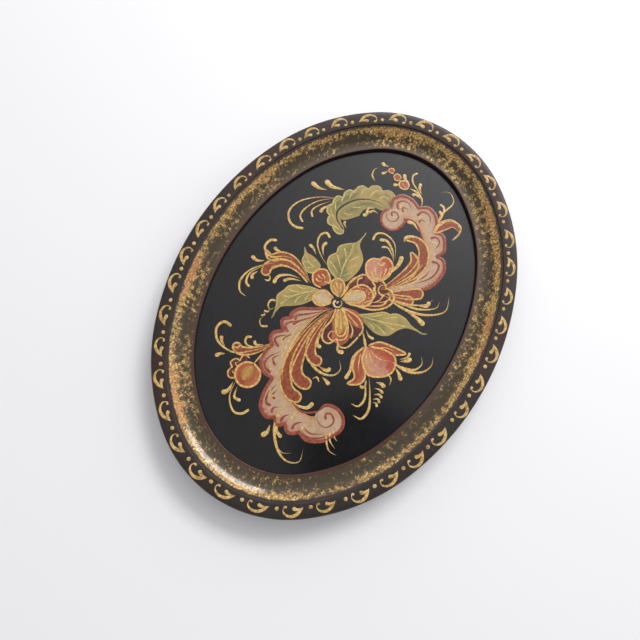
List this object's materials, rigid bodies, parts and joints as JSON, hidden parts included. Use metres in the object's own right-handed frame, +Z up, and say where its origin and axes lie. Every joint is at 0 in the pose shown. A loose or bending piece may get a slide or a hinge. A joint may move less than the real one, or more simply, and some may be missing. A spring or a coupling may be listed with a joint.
{
  "type": "painted oval tray",
  "caption": "Shallow oval wooden tray with a gold-bordered flat rim, a sponged-gold cove and a black let-in panel painted with scrolls and flowers.",
  "frame": {"origin": "centre of the oval at table height", "axes": "+X along the oval's long axis, +Y along its short axis, +Z up out of the tray"},
  "size_m": [0.305, 0.227, 0.019],
  "materials": {
    "rim_lacquer": "satin black oil paint under varnish",
    "cove_gilding": "black ground sponged with gold, under gloss varnish",
    "panel_lacquer": "gloss black oil paint under varnish",
    "bare_wood": "planed",
    "pin_steel": "plain",
    "gold_paint": "oil paint",
    "rust_paint": "oil paint",
    "rose_paint": "oil paint",
    "green_paint": "oil paint"
  },
  "bodies": {
    "root": {"rim_quarter_a": "rim_lacquer", "rim_quarter_b": "rim_lacquer", "rim_quarter_c": "rim_lacquer", "rim_quarter_d": "rim_lacquer", "cove_end_right": "cove_gilding", "cove_side_back": "cove_gilding", "cove_end_left": "cove_gilding", "cove_side_front": "cove_gilding", "centre_panel": "panel_lacquer", "joint_tongues": "bare_wood", "panel_pins": "pin_steel"}
  },
  "joints": []
}
